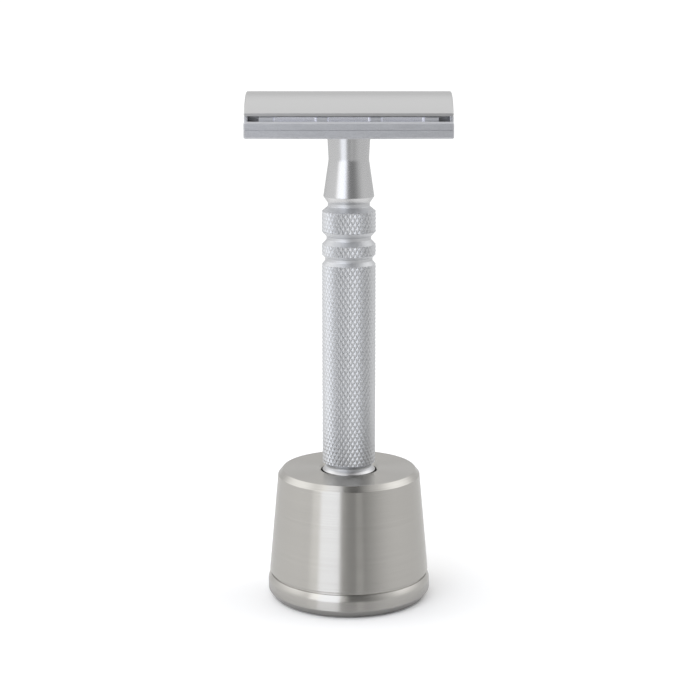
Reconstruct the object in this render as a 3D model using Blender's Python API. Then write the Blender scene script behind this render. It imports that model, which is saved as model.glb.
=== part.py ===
"""A three-piece double-edge safety razor, standing in a turned steel stand.

The stand's axis and the razor's axis are both the Z axis. The origin is the middle of the face that the
stand rests on. The head lies along X, with one blade edge towards -Y and the other towards +Y.

The handle hangs in the stand's bore and lifts straight up out of it. Turning the head unscrews the
threaded stud from the handle, which frees the cap, the blade and the base plate.
"""

import math

import bmesh
import bpy
from mathutils import Matrix, Vector

MM = 0.001

# Head. A double-edge blade is 43 mm long, and the cap and the base plate are as long as it is.
HEAD_LENGTH = 43.0 * MM
FIT_GAP = 0.12 * MM  # between pieces that are clamped or pressed together
BLADE_WIDTH = 22.0 * MM
BLADE_THICKNESS = 0.1 * MM
BLADE_BEND_RADIUS = 26.0 * MM  # the clamped blade follows a cylinder of this radius
BLADE_BEVEL = 0.9 * MM
BLADE_EDGE_THICKNESS = 0.02 * MM
BLADE_EDGE_LENGTH = 37.3 * MM  # the sharp edge is shorter than the blade, whose corners are notched
BLADE_TAB_WIDTH = 13.0 * MM
BLADE_SLOT_LENGTH = 34.0 * MM
BLADE_SLOT_WIDTH = 2.2 * MM
LUG_GAP = 0.1 * MM  # between the blade's edge and the lugs under it

# Base plate, measured up from its underside.
PLATE_WIDTH = 24.6 * MM
GUARD_TOP = 3.5 * MM
GUARD_THICKNESS = 1.4 * MM
GUARD_STEP_Z = 1.75 * MM
GUARD_STEP = 0.15 * MM
PLATE_CHAMFER = 0.33 * MM
GUARD_CHAMFER = 0.4 * MM
PLATE_END_CHAMFER = 0.25 * MM
TROUGH_DEPTH = 0.7 * MM
TROUGH_ROUND = 0.3 * MM  # radius at the foot of the land's walls
LAND_WIDTH = 20.4 * MM
POCKET_ENDS = (18.45 * MM, 20.7 * MM)  # the pockets by the land's four corners, from the middle
POCKET_INNER_Y = 6.5 * MM  # between the pockets the land carries on under the blade's tabs
POCKET_FLOOR_Z = 1.2 * MM
POST_FACES = (20.75 * MM, 21.2 * MM)  # the posts that close the troughs' ends
BLADE_CREST_Z = 6.64 * MM  # the middle of the clamped blade
LUG_FACES = ((4.4 * MM, 6.55 * MM), (15.5 * MM, 18.4 * MM))  # from the middle, the same to both sides
LUG_FILLET = 0.7 * MM  # radius between a lug's side and the land's wall
LUG_ROOT_DEPTH = 0.06 * MM  # how far the lugs go into the land's wall
LUG_FRONT_Y = 11.0 * MM

# Cap.
CAP_WIDTH = 20.9 * MM
CAP_CREST_Z = 8.95 * MM  # above the base plate's underside
CAP_LIP_Z = 5.11 * MM  # the top of the lip's upright edge, above the base plate's underside
CAP_END_BEVEL = 0.2 * MM

# Threaded stud and locating pins.
STUD_RADIUS = 2.5 * MM  # the crests of an M5 thread
STUD_SEAT_DEPTH = 1.2 * MM  # how far the stud and the pins are pressed into the cap
STUD_REACH = 6.0 * MM  # how far the stud goes down into the handle
STUD_CHAMFER = 0.5 * MM
PIN_RADIUS = 1.5 * MM
PIN_OFFSET = 15.8 * MM
PIN_END_Z = 0.7 * MM  # the pins stop this far above the base plate's underside
PIN_CHAMFER = 0.3 * MM
RUNNING_GAP = 0.2 * MM  # round the stud and the pins, where they pass through a hole

# Handle, measured up from its foot.
HANDLE_RADIUS = 5.78 * MM
HANDLE_LENGTH = 80.87 * MM
FOOT_CHAMFER = 0.5 * MM
EDGE_ROUND = 0.2 * MM
# Each turned groove: middle, radius at the bottom, length of the bottom, lower edge, upper edge.
GROOVES = (
    (8.88 * MM, 4.95 * MM, 0.4 * MM, 7.95 * MM, 9.8 * MM),
    (54.45 * MM, 5.07 * MM, 0.6 * MM, 53.3 * MM, 55.5 * MM),
    (58.97 * MM, 4.77 * MM, 0.65 * MM, 57.6 * MM, 60.45 * MM),
)
TOP_GROOVE = (66.15 * MM, 4.47 * MM, 0.7 * MM, 64.7 * MM, 67.9 * MM)
NECK_FLARE_RADIUS = 5.43 * MM
NECK_WAIST_RADIUS = 4.29 * MM
NECK_WAIST_Z = 75.7 * MM
NECK_TOP_RADIUS = 4.57 * MM
BORE_DEPTH = 7.2 * MM
DRILL_POINT = 1.5 * MM

# Stand.
STAND_HEIGHT = 28.6 * MM
STAND_FOOT_RADIUS = 16.8 * MM
RING_RADIUS = 17.8 * MM
RING_CHAMFER_Z = 1.65 * MM
RING_SHOULDER_Z = 4.0 * MM
RING_TOP_Z = 5.15 * MM
RING_TOP_RADIUS = 17.25 * MM
LINE_GROOVE_RADIUS = 17.0 * MM
LINE_GROOVE_TOP = 5.75 * MM
FLANK_FOOT_RADIUS = 17.45 * MM
FLANK_TOP_RADIUS = 15.5 * MM
STAND_TOP_RADIUS = 14.5 * MM
STAND_CHAMFER_Z = 27.4 * MM
STAND_BORE_RADIUS = 6.1 * MM
COUNTERSINK_RADIUS = 6.6 * MM
COUNTERSINK_DEPTH = 0.35 * MM
HANDLE_FOOT_Z = 20.5 * MM
BORE_FLOOR_Z = 20.2 * MM

# Foot pad: a thin sheet, stuck to the stand's flat underside.
PAD_RADIUS = 14.6 * MM
PAD_THICKNESS = 0.3 * MM
PAD_ROUND = 0.1 * MM

PLATE_Z = HANDLE_FOOT_Z + HANDLE_LENGTH + FIT_GAP

FINE_SEGMENTS = 64
HANDLE_SEGMENTS = 40
SMALL_SEGMENTS = 24
ARC_STEPS = 2
SHARP_ANGLE = math.radians(30)


def clear_scene():
    for old in list(bpy.data.objects):
        bpy.data.objects.remove(old, do_unlink=True)


def metal(name, colour, roughness):
    return principled(name, colour, roughness, 1.0)


def principled(name, colour, roughness, metallic):
    material = bpy.data.materials.new(name)
    material.use_nodes = True
    shader = material.node_tree.nodes["Principled BSDF"]
    shader.inputs["Base Color"].default_value = (*colour, 1.0)
    shader.inputs["Roughness"].default_value = roughness
    shader.inputs["Metallic"].default_value = metallic
    return material


def arc(centre, radius, start, end, steps):
    """Points on a circle from one angle to another, both ends included. Angles are in radians."""
    angles = (start + (end - start) * step / steps for step in range(steps + 1))
    return [
        (centre[0] + radius * math.cos(angle), centre[1] + radius * math.sin(angle))
        for angle in angles
    ]


def rounded(corners):
    """The open outline through corners (x, y, radius), with each inner corner rounded to its radius."""
    outline = []
    for index, (x, y, radius) in enumerate(corners):
        here = Vector((x, y))
        if radius == 0 or index in (0, len(corners) - 1):
            outline.append((x, y))
            continue
        back = (Vector(corners[index - 1][:2]) - here).normalized()
        ahead = (Vector(corners[index + 1][:2]) - here).normalized()
        half_angle = back.angle(ahead) / 2
        centre = here + (back + ahead).normalized() * (radius / math.sin(half_angle))
        reach = radius / math.tan(half_angle)
        first = here + back * reach - centre
        turn = first.angle_signed(here + ahead * reach - centre)
        for step in range(ARC_STEPS + 1):
            point = centre + Matrix.Rotation(-turn * step / ARC_STEPS, 2) @ first
            outline.append((point.x, point.y))
    return outline


def new_object(name, mesh_builder, material=None):
    """An object whose mesh is what the bmesh holds, shaded smooth but for its sharp edges."""
    bmesh.ops.recalc_face_normals(mesh_builder, faces=mesh_builder.faces)
    mesh = bpy.data.meshes.new(name)
    mesh_builder.to_mesh(mesh)
    mesh_builder.free()
    mesh.shade_smooth()
    mesh.set_sharp_from_angle(angle=SHARP_ANGLE)
    made = bpy.data.objects.new(name, mesh)
    bpy.context.scene.collection.objects.link(made)
    if material:
        mesh.materials.append(material)
    else:
        made.hide_render = True
        made.display_type = "WIRE"
    return made


def turned(name, outline, segments, material=None):
    """A solid of revolution about Z. The outline is (radius, z) and starts and ends on the axis."""
    builder = bmesh.new()
    points = [builder.verts.new((radius, 0, z)) for radius, z in outline]
    edges = [builder.edges.new(pair) for pair in zip(points, points[1:])]
    bmesh.ops.spin(
        builder,
        geom=points + edges,
        axis=(0, 0, 1),
        cent=(0, 0, 0),
        angle=math.tau,
        steps=segments,
        use_merge=True,
    )
    bmesh.ops.remove_doubles(builder, verts=builder.verts, dist=MM / 1000)
    return new_object(name, builder, material)


def add_prism(builder, outline, axis, low, high):
    """Adds the prism whose closed outline lies across the axis, from low to high along it."""

    def place(point, along):
        return (along, *point) if axis == "X" else (*point, along)

    face = builder.faces.new([builder.verts.new(place(point, low)) for point in outline])
    extruded = bmesh.ops.extrude_face_region(builder, geom=[face])["geom"]
    moved = [part for part in extruded if isinstance(part, bmesh.types.BMVert)]
    bmesh.ops.translate(builder, verts=moved, vec=Vector(place((0, 0), high - low)))


def prism(name, outline, axis, low, high, material=None, end_bevel=0):
    """One prism. With an end_bevel, the edges round both of its ends are bevelled."""
    builder = bmesh.new()
    add_prism(builder, outline, axis, low, high)
    if end_bevel:
        ends = [face for face in builder.faces if len(face.verts) == len(outline)]
        edges = [edge for face in ends for edge in face.edges]
        bmesh.ops.bevel(builder, geom=edges, offset=end_bevel, segments=1, affect="EDGES")
    return new_object(name, builder, material)


def boolean(target, tool, operation):
    change = target.modifiers.new(f"{operation.lower()}_{tool.name}", "BOOLEAN")
    change.operation = operation
    change.solver = "EXACT"
    change.object = tool
    tool.parent = target


def rod_cutters(name, places, low, high):
    """Upright round cutters, one for each (x, radius), as one helper object."""
    builder = bmesh.new()
    for x, radius in places:
        circle = arc((x, 0), radius, 0, math.tau, SMALL_SEGMENTS)[:-1]
        add_prism(builder, circle, "Z", low, high)
    return new_object(name, builder)


def bend_height(radius, y):
    """Height above the base plate's underside of a cylinder that shares the bent blade's centre line."""
    centre_z = BLADE_CREST_Z - BLADE_BEND_RADIUS
    return centre_z + math.sqrt(radius**2 - y**2)


def bend_points(radius, half_width, steps):
    """Points over the bend, from +half_width to -half_width."""
    ends = [half_width * (1 - 2 * step / steps) for step in range(steps + 1)]
    return [(y, bend_height(radius, y)) for y in ends]


CAP_UNDER_RADIUS = BLADE_BEND_RADIUS + BLADE_THICKNESS / 2 + FIT_GAP
LAND_RADIUS = BLADE_BEND_RADIUS - BLADE_THICKNESS / 2 - FIT_GAP


def make_stand_body(material):
    corners = (
        (0, PAD_THICKNESS, 0),
        (STAND_FOOT_RADIUS, PAD_THICKNESS, 0.2 * MM),
        (RING_RADIUS, RING_CHAMFER_Z, 0.5 * MM),
        (RING_RADIUS, RING_SHOULDER_Z, 1.5 * MM),
        (RING_TOP_RADIUS, RING_TOP_Z, 0),
        (LINE_GROOVE_RADIUS, RING_TOP_Z, 0),
        (LINE_GROOVE_RADIUS, LINE_GROOVE_TOP, 0),
        (FLANK_FOOT_RADIUS, LINE_GROOVE_TOP, 0.12 * MM),
        (FLANK_TOP_RADIUS, STAND_CHAMFER_Z, 0.15 * MM),
        (STAND_TOP_RADIUS, STAND_HEIGHT, 0.15 * MM),
        (COUNTERSINK_RADIUS, STAND_HEIGHT, 0),
        (STAND_BORE_RADIUS, STAND_HEIGHT - COUNTERSINK_DEPTH, 0),
        (STAND_BORE_RADIUS, BORE_FLOOR_Z, 0),
        (0, BORE_FLOOR_Z, 0),
    )
    return turned("stand_body", rounded(corners), FINE_SEGMENTS, material)


def make_foot_pad(material):
    corners = (
        (0, 0, 0),
        (PAD_RADIUS, 0, PAD_ROUND),
        (PAD_RADIUS, PAD_THICKNESS, 0),
        (0, PAD_THICKNESS, 0),
    )
    return turned("foot_pad", rounded(corners), FINE_SEGMENTS, material)


def groove_corners(groove, upper_radius):
    """A turned groove from its lower edge on the grip to its upper edge, which may have another radius."""
    middle, radius, length, lower, upper = groove
    return [
        (HANDLE_RADIUS, lower, EDGE_ROUND),
        (radius, middle - length / 2, EDGE_ROUND),
        (radius, middle + length / 2, EDGE_ROUND),
        (upper_radius, upper, EDGE_ROUND),
    ]


def make_handle(material):
    corners = [(0, 0, 0), (HANDLE_RADIUS - FOOT_CHAMFER, 0, 0), (HANDLE_RADIUS, FOOT_CHAMFER, 0)]
    for groove in GROOVES:
        corners += groove_corners(groove, HANDLE_RADIUS)
    corners += groove_corners(TOP_GROOVE, NECK_FLARE_RADIUS)
    bore_radius = STUD_RADIUS + RUNNING_GAP
    corners += [
        (NECK_WAIST_RADIUS, NECK_WAIST_Z, 4 * MM),
        (NECK_TOP_RADIUS, HANDLE_LENGTH, 0.15 * MM),
        (bore_radius + RUNNING_GAP, HANDLE_LENGTH, 0),
        (bore_radius, HANDLE_LENGTH - RUNNING_GAP, 0),
        (bore_radius, HANDLE_LENGTH - BORE_DEPTH, 0),
        (0, HANDLE_LENGTH - BORE_DEPTH - DRILL_POINT, 0),
    ]
    handle = turned("handle", rounded(corners), HANDLE_SEGMENTS, material)
    handle.location = (0, 0, HANDLE_FOOT_Z)
    return handle


def plate_half_outline():
    """Right half of the base plate's section across X, from the underside up over the guard to the land."""
    edge = PLATE_WIDTH / 2
    face = edge - GUARD_STEP
    inner = edge - GUARD_THICKNESS
    floor = GUARD_TOP - TROUGH_DEPTH
    foot = (LAND_WIDTH / 2 + TROUGH_ROUND, floor + TROUGH_ROUND)
    outside = [
        (edge - PLATE_CHAMFER, 0),
        (edge, PLATE_CHAMFER),
        (edge, GUARD_STEP_Z),
        (face, GUARD_STEP_Z + GUARD_STEP / 2),
        (face, GUARD_TOP - GUARD_CHAMFER),
        (face - GUARD_CHAMFER, GUARD_TOP),
        (inner + GUARD_CHAMFER, GUARD_TOP),
        (inner, GUARD_TOP - GUARD_CHAMFER),
        (inner, floor),
    ]
    return outside + arc(foot, TROUGH_ROUND, 1.5 * math.pi, math.pi, 4)


def make_lugs():
    """The lugs and end posts in both troughs, from the land's walls to the guard bars under the blade."""
    under_radius = BLADE_BEND_RADIUS - BLADE_THICKNESS / 2
    edge_y = under_radius * math.sin(BLADE_WIDTH / 2 / BLADE_BEND_RADIUS)
    top = bend_height(under_radius, edge_y) - LUG_GAP
    foot = GUARD_TOP - TROUGH_DEPTH - LUG_GAP
    root = LAND_WIDTH / 2 - LUG_ROOT_DEPTH
    quarter = math.pi / 2
    builder = bmesh.new()
    for near, far in LUG_FACES:
        centre, half = (near + far) / 2, (far - near) / 2
        fillet = (half + LUG_FILLET, root + LUG_FILLET)
        side = arc(fillet, LUG_FILLET, -quarter, -2 * quarter, 4) + [(half, LUG_FRONT_Y)]
        outline = side + [(-x, y) for x, y in reversed(side)]
        for x_side in (-1, 1):
            for y_side in (-1, 1):
                placed = [(x_side * centre + x, y_side * y) for x, y in outline]
                add_prism(builder, placed, "Z", foot, top)
    near, far = POST_FACES
    for x_side in (-1, 1):
        for y_side in (-1, 1):
            post = [(near, root), (far, root), (far, LUG_FRONT_Y), (near, LUG_FRONT_Y)]
            placed = [(x_side * x, y_side * y) for x, y in post]
            add_prism(builder, placed, "Z", foot, top)
    return new_object("lugs", builder)


def make_pocket_cutters():
    """What is cut from the land's four corners, outside the blade's tabs."""
    near, far = POCKET_ENDS
    outer = (LAND_WIDTH / 2 + TROUGH_ROUND + PLATE_WIDTH / 2 - GUARD_THICKNESS) / 2
    corner = [(near, POCKET_INNER_Y), (far, POCKET_INNER_Y), (far, outer), (near, outer)]
    builder = bmesh.new()
    for x_side in (-1, 1):
        for y_side in (-1, 1):
            placed = [(x_side * x, y_side * y) for x, y in corner]
            add_prism(builder, placed, "Z", POCKET_FLOOR_Z, CAP_CREST_Z)
    return new_object("pocket_cutters", builder)


def make_base_plate(material):
    half = plate_half_outline()
    land = bend_points(LAND_RADIUS, LAND_WIDTH / 2, 10)
    outline = half + land + [(-y, z) for y, z in reversed(half)]
    ends = -HEAD_LENGTH / 2, HEAD_LENGTH / 2
    plate = prism("base_plate", outline, "X", *ends, material, PLATE_END_CHAMFER)
    boolean(plate, make_lugs(), "UNION")
    boolean(plate, make_pocket_cutters(), "DIFFERENCE")
    holes = [(0, STUD_RADIUS + RUNNING_GAP)]
    holes += [(side * PIN_OFFSET, PIN_RADIUS + RUNNING_GAP) for side in (-1, 1)]
    boolean(plate, rod_cutters("plate_holes", holes, -MM, 2 * CAP_CREST_Z), "DIFFERENCE")
    return plate


def make_blade(material):
    """The blade as it is clamped: bent over the land, with both long edges ground thin."""
    half_angle = BLADE_WIDTH / 2 / BLADE_BEND_RADIUS
    steps = 20
    upper, lower = [], []
    for step in range(steps + 1):
        angle = half_angle * (1 - 2 * step / steps)
        from_edge = (half_angle - abs(angle)) * BLADE_BEND_RADIUS
        share = min(1, from_edge / BLADE_BEVEL)
        thickness = BLADE_EDGE_THICKNESS + share * (BLADE_THICKNESS - BLADE_EDGE_THICKNESS)
        for points, radius in (
            (upper, BLADE_BEND_RADIUS + thickness / 2),
            (lower, BLADE_BEND_RADIUS - thickness / 2),
        ):
            z = BLADE_CREST_Z - BLADE_BEND_RADIUS + radius * math.cos(angle)
            points.append((radius * math.sin(angle), z))
    outline = upper + lower[::-1]
    blade = prism("blade", outline, "X", -HEAD_LENGTH / 2, HEAD_LENGTH / 2, material)

    builder = bmesh.new()
    low, high = 0, 2 * CAP_CREST_Z
    for x_side in (-1, 1):
        for y_side in (-1, 1):
            near, far = x_side * BLADE_EDGE_LENGTH / 2, x_side * HEAD_LENGTH
            inner, outer = y_side * BLADE_TAB_WIDTH / 2, y_side * BLADE_WIDTH
            notch = [(near, inner), (far, inner), (far, outer), (near, outer)]
            add_prism(builder, notch, "Z", low, high)
    boolean(blade, new_object("blade_notches", builder), "DIFFERENCE")

    half_slot = BLADE_SLOT_WIDTH / 2
    straight = BLADE_SLOT_LENGTH / 2 - half_slot
    quarter = math.pi / 2
    slot = arc((straight, 0), half_slot, -quarter, quarter, 8)
    slot += arc((-straight, 0), half_slot, quarter, 3 * quarter, 8)
    boolean(blade, prism("blade_slot", slot, "Z", low, high), "DIFFERENCE")
    holes = [(0, STUD_RADIUS + 2 * RUNNING_GAP)]
    holes += [(side * PIN_OFFSET, PIN_RADIUS + RUNNING_GAP) for side in (-1, 1)]
    boolean(blade, rod_cutters("blade_holes", holes, low, high), "DIFFERENCE")
    return blade


def make_top_cap(material):
    """The cap: a cylinder's arc over its top, an upright lip along each side and a hollow underside."""
    half = CAP_WIDTH / 2
    drop = CAP_CREST_Z - CAP_LIP_Z
    radius = (half**2 + drop**2) / (2 * drop)
    reach = math.asin(half / radius)
    quarter = math.pi / 2
    over = arc((0, CAP_CREST_Z - radius), radius, quarter + reach, quarter - reach, 20)
    outline = over + bend_points(CAP_UNDER_RADIUS, half, 10)
    cap = prism("top_cap", outline, "X", -HEAD_LENGTH / 2, HEAD_LENGTH / 2, material, CAP_END_BEVEL)
    under = bend_height(CAP_UNDER_RADIUS, 0)
    seats = [(0, STUD_RADIUS + FIT_GAP)]
    seats += [(side * PIN_OFFSET, PIN_RADIUS + FIT_GAP) for side in (-1, 1)]
    cutters = rod_cutters("cap_seats", seats, 0, under + STUD_SEAT_DEPTH + FIT_GAP)
    boolean(cap, cutters, "DIFFERENCE")
    return cap


def rod(name, radius, low, high, chamfer, material):
    corners = (
        (0, low, 0),
        (radius - chamfer, low, 0),
        (radius, low + chamfer, 0),
        (radius, high, 0),
        (0, high, 0),
    )
    return turned(name, rounded(corners), SMALL_SEGMENTS, material)


def main():
    clear_scene()
    stand_steel = metal("turned_steel", (0.55, 0.53, 0.50), 0.3)
    razor_steel = metal("satin_steel", (0.62, 0.62, 0.63), 0.35)
    blade_steel = metal("blade_steel", (0.7, 0.7, 0.72), 0.15)
    pad_rubber = principled("pad_rubber", (0.03, 0.03, 0.03), 0.8, 0.0)

    make_stand_body(stand_steel)
    make_foot_pad(pad_rubber)
    handle = make_handle(razor_steel)
    plate = make_base_plate(razor_steel)
    plate.parent = handle
    plate.location = (0, 0, PLATE_Z - HANDLE_FOOT_Z)
    blade = make_blade(blade_steel)
    blade.parent = plate
    cap = make_top_cap(razor_steel)
    cap.parent = plate

    seat_top = bend_height(CAP_UNDER_RADIUS, 0) + STUD_SEAT_DEPTH
    stud = rod("cap_stud", STUD_RADIUS, -STUD_REACH, seat_top, STUD_CHAMFER, razor_steel)
    stud.parent = cap
    for name, side in (("cap_pin_left", -1), ("cap_pin_right", 1)):
        pin = rod(name, PIN_RADIUS, PIN_END_Z, seat_top, PIN_CHAMFER, razor_steel)
        pin.parent = cap
        pin.location.x = side * PIN_OFFSET


main()
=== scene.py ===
"""Looks of a double-edge safety razor that stands in a turned steel stand.

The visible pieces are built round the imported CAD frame, in metres, with +Z up. The stand's and the razor's
axis is the Z axis, and the head lies along X. The camera looks along +Y and slightly down.
"""

import math

import bmesh
import bpy
from mathutils import Matrix, Vector


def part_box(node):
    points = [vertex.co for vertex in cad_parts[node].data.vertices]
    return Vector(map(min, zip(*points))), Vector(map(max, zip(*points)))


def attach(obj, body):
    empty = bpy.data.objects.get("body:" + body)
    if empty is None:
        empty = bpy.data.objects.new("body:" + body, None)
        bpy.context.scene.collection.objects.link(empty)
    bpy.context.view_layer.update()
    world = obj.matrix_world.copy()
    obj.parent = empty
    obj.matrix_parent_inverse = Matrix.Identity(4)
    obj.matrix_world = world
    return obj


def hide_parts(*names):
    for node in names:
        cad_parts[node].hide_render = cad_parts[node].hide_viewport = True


MM = 0.001
FIT_GAP = 0.12 * MM  # round the stud and the pins in the cap

# Camera.
CAMERA_PLACE = (0.25 * MM, -371.7 * MM, 133.4 * MM)
CAMERA_PITCH = 0.208  # radians below the horizontal
CAMERA_LENS_MM = 90.31
CAMERA_SENSOR_MM = 36
CAMERA_CLIP_START = 0.01

# Stand. Heights are above the surface that it stands on.
STAND_FOOT_RADIUS = 16.8 * MM
RING_CHAMFER_Z = 1.65 * MM
RING_SHOULDER_Z = 4.0 * MM
RING_TOP_Z = 5.15 * MM
RING_TOP_RADIUS = 17.25 * MM
LINE_GROOVE_RADIUS = 17.0 * MM
LINE_GROOVE_TOP = 5.75 * MM
FLANK_FOOT_RADIUS = 17.45 * MM
FLANK_TOP_RADIUS = 15.5 * MM
STAND_TOP_RADIUS = 14.5 * MM
STAND_CHAMFER_Z = 27.4 * MM
STAND_BORE_RADIUS = 6.1 * MM
COUNTERSINK_RADIUS = 6.6 * MM
COUNTERSINK_DEPTH = 0.35 * MM
BORE_FLOOR_Z = 20.2 * MM
STAND_FOOT_ROUND = 0.2 * MM
RING_FOOT_ROUND = 0.5 * MM
RING_SHOULDER_ROUND = 1.5 * MM
FLANK_FOOT_ROUND = 0.12 * MM
STAND_EDGE_ROUND = 0.15 * MM
BORE_FLOOR_ROUND = 0.3 * MM
SHARP_ROUND = 0.05 * MM  # an edge that is only deburred
PAD_ROUND = 0.1 * MM
PAD_RING_START = 2.0 * MM  # radius of the first of the rings moulded into the pad's underside
PAD_RINGS = 5
PAD_RING_PITCH = 2.4 * MM
PAD_RING_WIDTH = 1.2 * MM
PAD_RING_DEPTH = 0.1 * MM

# Handle, measured up from its foot.
FOOT_CHAMFER = 0.5 * MM
EDGE_ROUND = 0.2 * MM
# Each turned groove: middle, radius at the bottom, length of the bottom, lower edge, upper edge.
GROOVES = (
    (8.88 * MM, 4.95 * MM, 0.4 * MM, 7.95 * MM, 9.8 * MM),
    (54.45 * MM, 5.07 * MM, 0.6 * MM, 53.3 * MM, 55.5 * MM),
    (58.97 * MM, 4.77 * MM, 0.65 * MM, 57.6 * MM, 60.45 * MM),
)
TOP_GROOVE = (66.15 * MM, 4.47 * MM, 0.7 * MM, 64.7 * MM, 67.9 * MM)
NECK_FLARE_RADIUS = 5.43 * MM
NECK_WAIST_RADIUS = 4.29 * MM
NECK_WAIST_Z = 75.7 * MM
NECK_WAIST_ROUND = 4.0 * MM
NECK_TOP_RADIUS = 4.57 * MM
NECK_TOP_ROUND = 0.15 * MM
BORE_RADIUS = 2.7 * MM
BORE_DEPTH = 7.2 * MM
BORE_CHAMFER = 0.2 * MM
DRILL_POINT = 1.5 * MM

# Knurl: V-grooves along two sets of helices, which leave diamonds with flat tops.
KNURL_TEETH = 36
KNURL_PERIOD = 1.73 * MM  # height of one diamond
KNURL_DEPTH = 0.27 * MM
KNURL_FLAT_SHARE = 0.45  # share of the way between two grooves at which the flat top starts
KNURL_RUN_OUT = 0.05 * MM  # how far the grooves run on over the bands' edges
CELLS_PER_TOOTH = 6
ROW_MARGIN = 0.3  # share of a cell that keeps the knurl's rows clear of the outline's own points

# Head, measured up from the base plate's underside.
BLADE_BEND_RADIUS = 26.0 * MM
BLADE_THICKNESS = 0.1 * MM
BLADE_CREST_Z = 6.64 * MM
BLADE_WIDTH = 22.0 * MM
BLADE_BEVEL = 0.9 * MM
BLADE_EDGE_THICKNESS = 0.02 * MM
BLADE_EDGE_LENGTH = 37.3 * MM
BLADE_TAB_WIDTH = 13.0 * MM
BLADE_SLOT_LENGTH = 34.0 * MM
BLADE_SLOT_WIDTH = 2.2 * MM
BLADE_STUD_HOLE = 2.9 * MM
PIN_HOLE = 1.7 * MM
PIN_OFFSET = 15.8 * MM
GUARD_TOP = 3.5 * MM
GUARD_THICKNESS = 1.4 * MM
GUARD_STEP_Z = 1.75 * MM
GUARD_STEP = 0.15 * MM
PLATE_CHAMFER = 0.33 * MM
GUARD_CHAMFER = 0.4 * MM
PLATE_END_CHAMFER = 0.25 * MM
TROUGH_DEPTH = 0.7 * MM
TROUGH_ROUND = 0.3 * MM
LAND_WIDTH = 20.4 * MM
POCKET_ENDS = (18.45 * MM, 20.7 * MM)
POCKET_INNER_Y = 6.5 * MM
POCKET_FLOOR_Z = 1.2 * MM
POST_FACES = (20.75 * MM, 21.2 * MM)
CLAMP_GAP = 0.02 * MM  # between the blade and what clamps it
LUG_FACES = ((4.4 * MM, 6.55 * MM), (15.5 * MM, 18.4 * MM))
LUG_FILLET = 0.7 * MM
LUG_ROOT_DEPTH = 0.06 * MM
LUG_FRONT_Y = 11.0 * MM
HEAD_EDGE_ROUND = 0.05 * MM
CAP_WIDTH = 20.9 * MM
CAP_CREST_Z = 8.95 * MM
CAP_LIP_Z = 5.11 * MM
CAP_END_BEVEL = 0.2 * MM

# Threaded stud and locating pins.
STUD_RADIUS = 2.5 * MM
THREAD_PITCH = 0.8 * MM
THREAD_DEPTH = 0.43 * MM
THREAD_CREST_SHARE = 1 / 16  # of the pitch, from the crest's middle to its edge
THREAD_FLANK_SHARE = 5 / 16
STUD_CHAMFER = 0.5 * MM
PIN_RADIUS = 1.5 * MM
PIN_CHAMFER = 0.3 * MM
PIN_SHOULDER_ROUND = 0.1 * MM

# Finishes. A window is its low and high limit and how far it fades out below and above them. A scale is
# the number of a noise's features in a metre, and a stretch is a factor that slows the noise one way.
NOISE_RANGE = (0.3, 0.7)  # most of a noise's values lie in here
NOISE_SUM_RANGE = (0.7, 1.3)  # and most sums of two noises in here
LATHE_LINE_SCALE = 6500.0
LATHE_LINE_STRETCH = 0.00004
LATHE_PATCH_SCALE = 300.0
LATHE_PATCH_STRETCH = 0.002
AROUND_AXIS = 0.25  # turn from the shader's tangent to the way that a lathe's lines run
BLAST_PATCH_SCALE = 400.0
MILL_LINE_SCALE = 7000.0
MILL_LINE_STRETCH = 0.03
MILL_GRAIN_SCALE = 5000.0
RUBBER_GRAIN_SCALE = 3000.0
# The grip is rougher inside this window, and paler and bluer there as painted light.
GRIP_ROUGHNESS_AND_PAINTED_LIGHT_HEIGHT = (8.7 * MM, 65.9 * MM, 0.6 * MM, 1.4 * MM)  # window, from the handle's foot
GRIP_ROUGHNESS_SPREAD = 0.1
TROUGH_PAINTED_LIGHT_LENGTH = (-16.0 * MM, 16.0 * MM, 0.2 * MM, 0.2 * MM)  # windows of the painted light on the troughs' walls
TROUGH_PAINTED_LIGHT_WIDTH = (10.1 * MM, 10.75 * MM, 0.1 * MM, 0.2 * MM)

# Studio. Azimuths and elevations are in degrees. Azimuth is from the camera's side, positive to the right.
FLOOR_RADIUS = 0.2
FLOOR_COLOUR = (1.06, 1.06, 1.065)
# The sheet is darker in the stand's reflections than to the camera: painted shade round the stand's foot.
FLOOR_PAINTED_SHADE_COLOUR = (0.72, 0.72, 0.74)
CONTACT_FADE = (19.0 * MM, 26.0 * MM)  # the sheet is seen in the stand's reflections out to here
NADIR_LEVEL = 1.25
NADIR_FADE = (-45.0, -22.0)
ROOM_LEVEL = 0.87
CEILING_LEVEL = 1.12
ROOM_RISE = (5.0, 35.0)
ROOM_SLANT = -0.07  # change of the room's level from its middle to its right side, as a share
ROOM_TINT = (1.0, 1.0, 1.0)
GAP_LEAN_FROM = (-25.0, 15.0)  # the gap leans to the right between these elevations
GAP_LEAN = (-10.0, 6.0)
GAP_AZIMUTH = (-2.0, 16.0, 14.0, 55.0)
GAP_ELEVATION = (-60.0, 70.0, 15.0, 15.0)
GAP_LEVEL = (0.52, 0.25)  # below and above GAP_LEVEL_TURN
GAP_LEVEL_TURN = (-8.0, 3.0)
DARK_AZIMUTH = (-18.0, 20.0, 14.0, 14.0)
DARK_ELEVATION = (50.0, 68.0, 15.0, 8.0)
DARK_LEVEL = 0.05
BACK_AZIMUTH = (150.0, 180.0, 30.0, 1.0)
BACK_ELEVATION = (0.0, 28.0, 20.0, 20.0)
BACK_LEVEL = 0.75
STRIPE_AZIMUTH = (13.0, 19.0, 4.0, 4.0)
STRIPE_ELEVATION = (-22.0, -4.0, 6.0, 6.0)
STRIPE_LEVEL = 0.78
BOX_AZIMUTH = (-41.0, -15.0, 7.0, 4.0)
BOX_ELEVATION = (-5.0, 50.0, 20.0, 15.0)
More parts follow.
